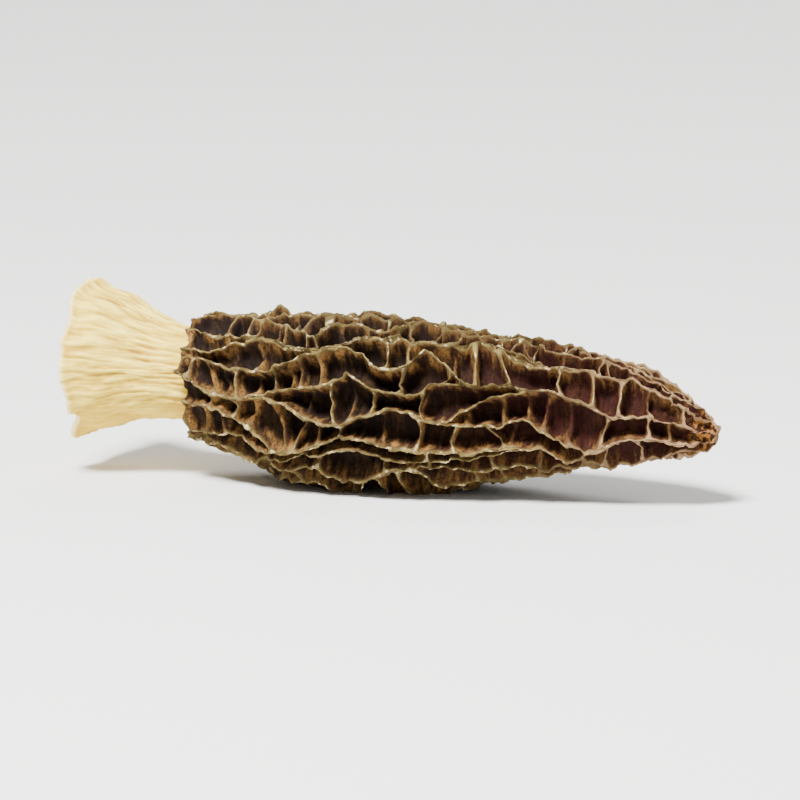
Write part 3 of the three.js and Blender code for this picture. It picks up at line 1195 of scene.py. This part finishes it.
@dataclass
class Stem:
    """The stem: a hollow tube that flares to its cut foot and wrinkles lengthwise."""

    form: Form
    finish: DriedFlesh
    foot_x: float
    half_height: Stations = (
        (-12.9, 7.95), (-12.4, 7.85), (-11.8, 7.35), (-10.8, 7.2), (-9.5, 6.95), (-7, 5.9), (-4.5, 5.15),
        (-2.5, 4.8), (-0.5, 4.75), (0.8, 4.7), (2.4, 4.2),
    )
    wall: float = 0.95
    inside_cap: float = 2.4
    # From the neck down the stem gets uneven, and it flares and curls over the last stretch.
    neck_x: float = -2.0
    edge_x: float = -10.2
    edge_run: float = 2.6
    # Waves round the stem: each one's height, how many go into a turn, and its phase.
    lobes: Sequence[tuple[float, int, float]] = ((0.3, 2, 0.4), (0.2, 3, 1.0), (0.1, 7, 0.5))
    edge_lobes: Sequence[tuple[float, int, float]] = ((0.35, 4, 0.9),)
    tears: Sequence[tuple[float, int, float]] = ((0.3, 2, 0.8), (0.22, 5, 2.1), (0.12, 11, 0.0))
    # Each curl of the foot's edge: its angle, spread, swell outwards and reach along X.
    curls: Sequence[tuple[float, float, float, float]] = (
        (1.42, 0.22, 0.55, 0.25), (4.32, 0.2, 0.65, -0.35), (3.95, 0.14, -0.5, 0.7),
        (0.35, 0.3, 0.5, -0.3), (5.6, 0.25, -0.4, 0.5),
    )
    # How pale the painted highlight along the cut lip is, how wide, and how soft its border.
    lip: float = 0.75
    lip_width: float = 0.65
    lip_fade: float = 0.4
    # How much the wall wrinkles: inside, on the rim and outside. It gets smooth inside the cap.
    wrinkled: tuple[float, float, float] = (0.5, 0.8, 1.0)
    smooth_end: float = 0.6
    smooth_run: float = 2.0
    # The fibres' pattern lies on a tube of this radius, drawn out along X.
    fibre_radius: float = 6.0
    fibre_draw: float = 0.12
    columns: int = 300
    outer_rings: int = 90
    inner_rings: int = 40
    rim_rings: int = 6

    def profile(self) -> tuple[np.ndarray, np.ndarray, np.ndarray]:
        """Works out the wall's section, from the inside of the neck, round the rim, to the outside.

        Returns:
            Each ring's x, how deep in the wall it lies, and how much it wrinkles.
        """
        half, rings = self.wall / 2, (self.inner_rings, self.rim_rings, self.outer_rings)
        rim_x = self.foot_x + half
        bend = np.linspace(0, math.pi, self.rim_rings + 2)[1:-1]
        inside = np.linspace(self.inside_cap, rim_x, self.inner_rings)
        outside = np.linspace(rim_x, self.inside_cap, self.outer_rings)
        x = np.concatenate([inside, rim_x - half * np.sin(bend), outside])
        deep = np.concatenate([0 * inside + self.wall, half * (1 + np.cos(bend)), 0 * outside])
        settled = ease((self.inside_cap - self.smooth_end - x) / self.smooth_run)
        return x, deep, np.repeat(self.wrinkled, rings) * settled

    def build(self) -> bpy.types.Object:
        """Makes the stem's mesh, wrinkles it and dresses it.

        Returns:
            The finished stem.
        """
        ring_x, deep, fold = self.profile()
        around = BELLY + TURN * np.arange(self.columns) / self.columns
        x, angle = np.meshgrid(ring_x, around, indexing="ij")
        near_foot = ease((self.neck_x - x) / (self.neck_x - self.foot_x))
        edge = ease((self.edge_x - x) / self.edge_run)
        uneven = waves(angle, self.lobes) + edge * waves(angle, self.edge_lobes)
        half = along(self.half_height, x) - deep[:, None] + uneven * near_foot
        torn = waves(angle, self.tears)
        for at, spread, swell, reach in self.curls:
            share = np.exp(-(((angle - at + math.pi) % TURN - math.pi) ** 2) / spread**2) * edge
            half = half + swell * share
            torn = torn + reach * share
        points = self.form.ring(x, angle, half)
        points[..., 0] += torn * near_foot**2
        way = np.where(np.arange(len(ring_x)) < self.inner_rings, -1, 1)[:, None, None]
        outward = np.stack([0 * x, np.cos(angle), np.sin(angle)], -1) * way
        # The lip's share of the painted highlight along the cut.
        lip = self.lip * ease((self.foot_x + self.lip_width - x) / self.lip_fade)
        fibre = self.form.ring(x, angle, np.full_like(x, self.fibre_radius)) * (self.fibre_draw, 1, 1)
        stored = {
            "wrinkle": np.repeat(fold, self.columns),
            "lip": lip.ravel(),
            "outward": outward.reshape(-1, 3),
            "fibre": fibre.reshape(-1, 3) * MM,
        }
        skin = closed_skin("stem_skin", points, np.zeros((0, 3)), stored, self.form.margin_x)
        return wrinkle_relief().run_on("stem_flesh", skin, self.finish.build())


def waves(angle: np.ndarray, parts: Sequence[tuple[float, int, float]]) -> np.ndarray:
    """Adds up waves round a body.

    Args:
        angle: Angles round it.
        parts: Each wave's height, how many go into a turn, and its phase.

    Returns:
        Their sum at each angle.
    """
    return sum(height * np.sin(count * angle + phase) for height, count, phase in parts)


# ---- meshes and relief


def closed_skin(
    name: str, rings: np.ndarray, poles: np.ndarray, stored: dict[str, np.ndarray], margin_x: float
) -> bpy.types.Mesh:
    """Joins rings of points into one closed skin, with a map that follows its rings and columns.

    Args:
        name: The mesh's name.
        rings: Points in millimetres from the margin, as rings by columns by three.
        poles: The two points that the first and last rings close on, or none if those rings join.
        stored: For each attribute, a number or a direction for every point.
        margin_x: Where the margin lies in the frame.

    Returns:
        The mesh, in the frame, with its faces outwards.
    """
    border, (count, columns) = 0.01, rings.shape[:2]
    here = np.arange(columns)
    after = (here + 1) % columns
    strips = count - 1 if len(poles) else count
    strip = np.arange(strips)[:, None]
    low, high = strip * columns, (strip + 1) % count * columns
    faces = np.stack([low + here, low + after, high + after, high + here], -1).reshape(-1, 4).tolist()
    u = np.stack([here, here + 1, here + 1, here], -1) / columns
    v = (strip + np.array([0, 0, 1, 1])) / strips
    spots = [border + (1 - 2 * border) * np.stack(np.broadcast_arrays(u, v[:, None]), -1).reshape(-1, 2)]
    # The first ring closes on the first pole, and the last ring the other way round on the second.
    for pole, start, turn in ((0, 0, -1), (1, (count - 1) * columns, 1))[: len(poles)]:
        one, other = [here, after][::turn]
        faces += np.stack([0 * here + count * columns + pole, start + one, start + other], -1).tolist()
        u = np.stack([here + 0.5, *[here, here + 1][::turn]], -1) / columns
        v = pole - turn * border * np.array([0, 1, 1])
        u, v = np.broadcast_arrays(border + (1 - 2 * border) * u, v)
        spots.append(np.stack([u, v], -1).reshape(-1, 2))
    mesh = bpy.data.meshes.new(name)
    mesh.from_pydata(np.concatenate([rings.reshape(-1, 3), poles]).tolist(), [], faces)
    spots = np.concatenate(spots).astype(np.float32)
    mesh.uv_layers.new(name="OFBake").uv.foreach_set("vector", spots.ravel())
    for attribute, values in stored.items():
        kind, part = ("FLOAT_VECTOR", "vector") if values.ndim == 2 else ("FLOAT", "value")
        data = mesh.attributes.new(attribute, kind, "POINT").data
        data.foreach_set(part, values.astype(np.float32).ravel())
    mesh.shade_smooth()
    mesh.transform(Matrix.Translation((margin_x, 0, 0)) @ Matrix.Scale(MM, 4))
    return mesh


class Relief:
    """A geometry tree that works a smooth skin into relief. Its sizes are named inputs, in metres."""

    def __init__(self, name: str, sizes: dict[str, float], reads: dict[str, str]) -> None:
        """Starts the tree.

        Args:
            name: The tree's name.
            sizes: Each named input and its value.
            reads: Each attribute that it reads and its type.
        """
        self.tree = bpy.data.node_groups.new(name, "GeometryNodeTree")
        new_socket = self.tree.interface.new_socket
        new_socket("Geometry", in_out="INPUT", socket_type="NodeSocketGeometry")
        new_socket("Finish", in_out="INPUT", socket_type="NodeSocketMaterial")
        for size, value in sizes.items():
            new_socket(size, in_out="INPUT", socket_type="NodeSocketFloat").default_value = value
        new_socket("Geometry", in_out="OUTPUT", socket_type="NodeSocketGeometry")
        self.given = add_node(self.tree, "NodeGroupInput").outputs
        self.place = add_node(self.tree, "GeometryNodeInputPosition")
        self.stored = {}
        for read, kind in reads.items():
            node = add_node(self.tree, "GeometryNodeInputNamedAttribute", {"Name": read}, data_type=kind)
            self.stored[read] = node.outputs["Attribute"]

    def pattern(self, place: Feed, kind: str) -> bpy.types.Node:
        """Adds a random pattern, whose rises are as wide as the kind's Size input.

        Args:
            place: Where to read it.
            kind: The kind of relief, such as Grain.

        Returns:
            The noise.
        """
        size = self.given[kind + " Size"]
        scale = add_node(self.tree, "ShaderNodeMath", {0: 1.0, 1: size}, operation="DIVIDE")
        inputs = {"Vector": place, "W": self.given["Seed"], "Scale": scale, "Detail": 2.0}
        return add_node(self.tree, "ShaderNodeTexNoise", inputs, noise_dimensions="4D")

    def ruffle(self, place: Feed, kind: str) -> bpy.types.Node:
        """Adds random rises and falls, as wide and high as the kind's Size and Height inputs.

        Args:
            place: Where to read them.
            kind: The kind of relief.

        Returns:
            The node whose first output is the height at each point.
        """
        noise, height = self.pattern(place, kind), self.given[kind + " Height"]
        level = add_node(self.tree, "ShaderNodeMath", {0: noise, 1: 0.5}, operation="SUBTRACT")
        return add_node(self.tree, "ShaderNodeMath", {0: level, 1: height}, operation="MULTIPLY")

    def end_on(self, shape: bpy.types.Node) -> None:
        """Closes the tree on one plain shape in its finish.

        Args:
            shape: The node that gives the shape.
        """
        real = add_node(self.tree, "GeometryNodeRealizeInstances", {0: shape})
        dressed = add_node(self.tree, "GeometryNodeSetMaterial", {0: real, "Material": self.given["Finish"]})
        add_node(self.tree, "NodeGroupOutput", {0: dressed})

    def run_on(self, name: str, skin: bpy.types.Mesh, finish: bpy.types.Material) -> bpy.types.Object:
        """Works a skin and keeps the result as a plain piece.

        Args:
            name: The piece's name.
            skin: The smooth skin, which is used up.
            finish: The piece's material.

        Returns:
            The piece, with no modifier left.
        """
        smooth = in_scene(name + "_smooth", skin)
        modifier = smooth.modifiers.new("relief", "NODES")
        modifier.node_group = self.tree
        for socket in self.tree.interface.items_tree:
            if socket.in_out == "INPUT" and socket.name != "Geometry":
                value = finish if socket.name == "Finish" else socket.default_value
                modifier[socket.identifier] = value
        worked = smooth.evaluated_get(bpy.context.evaluated_depsgraph_get())
        plain = bpy.data.meshes.new_from_object(worked)
        plain.name = name
        bpy.data.objects.remove(smooth)
        bpy.data.meshes.remove(skin)
        return in_scene(name, plain)


def pit_relief() -> Relief:
    """Sinks the cap's pits, folds them, crumples the crests and lays the belly flat.

    Returns:
        The relief, which reads the attributes sink, pit, outside and outward.
    """
    sizes = {
        "Pit Depth": 1.0,
        "Fold Size": 0.8 * MM,
        "Fold Height": 1.5 * MM,
        "Grain Size": 0.42 * MM,
        "Grain Height": 0.2 * MM,
        "Crumple Size": 1.1 * MM,
        "Crumple Height": 1.15 * MM,
        "Seed": 3.0,
    }
    reads = {"sink": "FLOAT", "pit": "FLOAT", "outside": "FLOAT", "outward": "FLOAT_VECTOR"}
    relief = Relief("pit_relief", sizes, reads)
    tree, given, stored, place = relief.tree, relief.given, relief.stored, relief.place
    sunk = add_node(tree, "ShaderNodeMath", {0: stored["sink"], 1: given["Pit Depth"]}, operation="MULTIPLY")
    # The folds run round the body, so their pattern is drawn out that way. They fade in from a pit's edge.
    drawn_out, edge, well_in = (1.0, 0.22, 0.22), 0.1, 0.6
    drawn = add_node(tree, "ShaderNodeVectorMath", {0: place, 1: drawn_out}, operation="MULTIPLY")
    in_pit = add_node(tree, "ShaderNodeMapRange", {0: stored["pit"], 1: edge, 2: well_in})
    folds = relief.ruffle(drawn, "Fold")
    folds = add_node(tree, "ShaderNodeMath", {0: folds, 1: in_pit}, operation="MULTIPLY")
    grain = relief.ruffle(place, "Grain")
    rough = add_node(tree, "ShaderNodeMath", {0: folds, 1: grain}, operation="ADD")
    rise = add_node(tree, "ShaderNodeMath", {0: rough, 1: sunk}, operation="SUBTRACT")
    carve = add_node(tree, "ShaderNodeVectorMath", {0: stored["outward"], "Scale": rise}, operation="SCALE")
    # Crests and walls crumple together, so neighbours never cross.
    noise, height = relief.pattern(place, "Crumple").outputs["Color"], given["Crumple Height"]
    level = add_node(tree, "ShaderNodeVectorMath", {0: noise, 1: (0.5, 0.5, 0.5)}, operation="SUBTRACT")
    amount = add_node(tree, "ShaderNodeMath", {0: height, 1: stored["outside"]}, operation="MULTIPLY")
    crumple = add_node(tree, "ShaderNodeVectorMath", {0: level, "Scale": amount}, operation="SCALE")
    move = add_node(tree, "ShaderNodeVectorMath", {0: carve, 1: crumple}, operation="ADD")
    carved = add_node(tree, "GeometryNodeSetPosition", {0: given["Geometry"], "Offset": move})
    # Nothing reaches below the surface that the morel lies on.
    parts = add_node(tree, "ShaderNodeSeparateXYZ", {0: place}).outputs
    above = add_node(tree, "ShaderNodeMath", {0: parts["Z"], 1: 0.0}, operation="MAXIMUM")
    resting = add_node(tree, "ShaderNodeCombineXYZ", {"X": parts["X"], "Y": parts["Y"], "Z": above})
    relief.end_on(add_node(tree, "GeometryNodeSetPosition", {0: carved, "Position": resting}))
    return relief


def wrinkle_relief() -> Relief:
    """Wrinkles the stem lengthwise and stores how deep each fold is.

    Returns:
        The relief, which reads the attributes wrinkle, outward and fibre, and writes fold.
    """
    sizes = {
        "Wrinkle Size": 0.52 * MM,
        "Wrinkle Height": 1.5 * MM,
        "Grain Size": 0.4 * MM,
        "Grain Height": 0.22 * MM,
        "Seed": 7.0,
    }
    reads = {"wrinkle": "FLOAT", "outward": "FLOAT_VECTOR", "fibre": "FLOAT_VECTOR"}
    relief = Relief("wrinkle_relief", sizes, reads)
    tree, given, stored = relief.tree, relief.given, relief.stored
    folds, grain = relief.ruffle(stored["fibre"], "Wrinkle"), relief.ruffle(relief.place, "Grain")
    both = add_node(tree, "ShaderNodeMath", {0: folds, 1: grain}, operation="ADD")
    rise = add_node(tree, "ShaderNodeMath", {0: both, 1: stored["wrinkle"]}, operation="MULTIPLY")
    move = add_node(tree, "ShaderNodeVectorMath", {0: stored["outward"], "Scale": rise}, operation="SCALE")
    # Noise seldom strays further from its middle than a quarter, so that is a fold's full depth.
    full = add_node(tree, "ShaderNodeMath", {0: given["Wrinkle Height"], 1: 0.25}, operation="MULTIPLY")
    share = add_node(tree, "ShaderNodeMath", {0: folds, 1: full}, operation="DIVIDE")
    inputs = {0: given["Geometry"], "Name": "fold", "Value": share}
    kept = add_node(tree, "GeometryNodeStoreNamedAttribute", inputs, data_type="FLOAT", domain="POINT")
    relief.end_on(add_node(tree, "GeometryNodeSetPosition", {0: kept, "Offset": move}))
    return relief


# ---- the studio


@dataclass(frozen=True)
class Softbox:
    """A round soft light that faces the morel: degrees round and up, metres away and wide, and watts."""

    name: str
    azimuth: float
    elevation: float
    away: float
    width: float
    power: float


@dataclass(frozen=True)
class Studio:
    """A plain pale floor with a sweep behind it, soft lights and the camera. Lengths are metres."""

    azimuth: float = 20.0
    elevation: float = 10.0
    distance: float = 1.03
    view_width: float = 0.084
    aim: tuple[float, float, float] = (0.0, 0.0, 0.0092)
    lamps: Sequence[Softbox] = (
        Softbox("key_softbox", -10, 59, 0.6, 0.2, 14.5),
        Softbox("fill_softbox", 75, 25, 0.7, 0.5, 1.2),
        Softbox("back_softbox", 190, 45, 0.7, 0.4, 3.0),
    )
    sky_colour: str = "F4F4F2"
    sky_strength: float = 0.36
    floor_colour: str = "EDEDEB"
    floor_roughness: float = 0.9
    # The floor runs from in front of the morel to the sweep, which bends up to a plain wall.
    floor_front: float = -1.5
    sweep_start: float = 0.5
    sweep_radius: float = 0.6
    wall_top: float = 2.5
    half_width: float = 2.5

    def floor(self) -> None:
        """Makes the floor, which curves up far behind the morel."""
        a, radius = math.radians(self.azimuth), self.sweep_radius
        away, side = np.array([-math.sin(a), math.cos(a)]), np.array([math.cos(a), math.sin(a)])
        run = [(self.floor_front, 0.0), (self.sweep_start, 0.0)]
        for t in np.linspace(0.05, math.pi / 2, 24):
            run.append((self.sweep_start + radius * math.sin(t), radius - radius * math.cos(t)))
        run.append((self.sweep_start + radius, self.wall_top))
        points = [(*(away * d + side * s), h) for d, h in run for s in (-self.half_width, self.half_width)]
        faces = [(2 * i, 2 * i + 1, 2 * i + 3, 2 * i + 2) for i in range(len(run) - 1)]
        mesh = bpy.data.meshes.new("floor")
        mesh.from_pydata(points, [], faces)
        mesh.shade_smooth()
        material = bpy.data.materials.new("matte_floor_paint")
        material.use_nodes = True
        shader = material.node_tree.nodes["Principled BSDF"]
        shader.inputs["Base Color"].default_value = linear(self.floor_colour)
        shader.inputs["Roughness"].default_value = self.floor_roughness
        mesh.materials.append(material)
        in_scene("floor", mesh)

    def face_morel(self, thing: bpy.types.Object, azimuth: float, elevation: float, away: float) -> None:
        """Places a light or camera so that it faces the morel.

        Args:
            thing: The light or camera.
            azimuth: Where it stands, in degrees from the front.
            elevation: How high it stands, in degrees.
            away: Its distance.
        """
        back = Vector(towards(azimuth, elevation))
        thing.location = Vector(self.aim) + back * away
        thing.rotation_euler = (-back).to_track_quat("-Z", "Y").to_euler()

    def build(self) -> None:
        """Sets up the whole studio."""
        self.floor()
        data = bpy.data.cameras.new("camera")
        data.lens = data.sensor_width * self.distance / self.view_width
        data.clip_start, data.clip_end = 0.05, 20
        camera = in_scene("camera", data)
        self.face_morel(camera, self.azimuth, self.elevation, self.distance)
        bpy.context.scene.camera = camera
        for lamp in self.lamps:
            light = bpy.data.lights.new(lamp.name, "AREA")
            light.shape = "DISK"
            light.size = lamp.width
            light.energy = lamp.power
            self.face_morel(in_scene(lamp.name, light), lamp.azimuth, lamp.elevation, lamp.away)
        world = bpy.data.worlds.new("studio")
        bpy.context.scene.world = world
        world.use_nodes = True
        background = world.node_tree.nodes["Background"]
        background.inputs["Color"].default_value = linear(self.sky_colour)
        background.inputs["Strength"].default_value = self.sky_strength


# ---- all together


def stand_for(piece: bpy.types.Object, node: str) -> None:
    """Puts a finished piece in a node's place, and reports it.

    Args:
        piece: The finished piece.
        node: The node that it stands for.
    """
    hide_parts(node)
    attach(piece, BODY)
    triangles = sum(len(p.vertices) - 2 for p in piece.data.polygons)
    log.info("%s: %d triangles, stands for %s", piece.name, triangles, node)


def main() -> None:
    """Builds the morel and its studio in order."""
    low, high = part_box("cap")
    stem_low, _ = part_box("stem")
    form = Form(margin_x=low.x, cap_length=(high.x - low.x) / MM)
    work = RidgeWork(form, FrontView(), form.levels(LEVELS), np.random.default_rng(SEED))
    cap = Cap(form, work, DriedCapFlesh()).build()
    stand_for(cap, "cap")
    stem = Stem(form, DriedStemFlesh(), foot_x=(stem_low.x - low.x) / MM).build()
    stand_for(stem, "stem")
    Studio().build()


if __name__ == "__main__":
    logging.basicConfig(level=logging.INFO, format="%(name)s: %(message)s")
    main()
